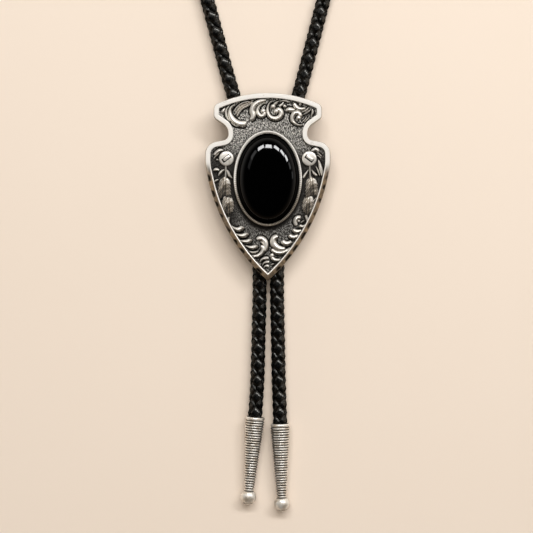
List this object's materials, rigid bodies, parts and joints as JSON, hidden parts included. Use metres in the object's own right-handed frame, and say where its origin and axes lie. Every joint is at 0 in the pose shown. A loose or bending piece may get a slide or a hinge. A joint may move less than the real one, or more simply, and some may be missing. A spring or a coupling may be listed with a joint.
{
  "type": "bolo tie",
  "caption": "Bolo tie lying flat: cast arrowhead slide with a domed oval stone on a braided leather cord ending in ribbed metal tips.",
  "frame": {"origin": "centre of the back clasp's flat bottom face, straight under the centre of the stone, on the surface that the tie lies on", "axes": "+X to the right of the slide's face as the picture shows it, +Y up the face towards the neck loop, +Z out of the face"},
  "size_m": [0.1439, 0.4409, 0.0134],
  "materials": {
    "antique_silver": "satin cast silver colour with blackened recesses",
    "black_stone": "polished black onyx",
    "clasp_steel": "satin",
    "braided_leather": "glossy black six-lace braid",
    "tip_silver": "satin with dark grooves"
  },
  "bodies": {
    "root": {"slide": "antique_silver", "stone": "black_stone", "back_clasp": "clasp_steel", "neck_cord": "braided_leather", "left_tail": "braided_leather", "right_tail": "braided_leather", "left_tip": "tip_silver", "right_tip": "tip_silver"}
  },
  "joints": []
}
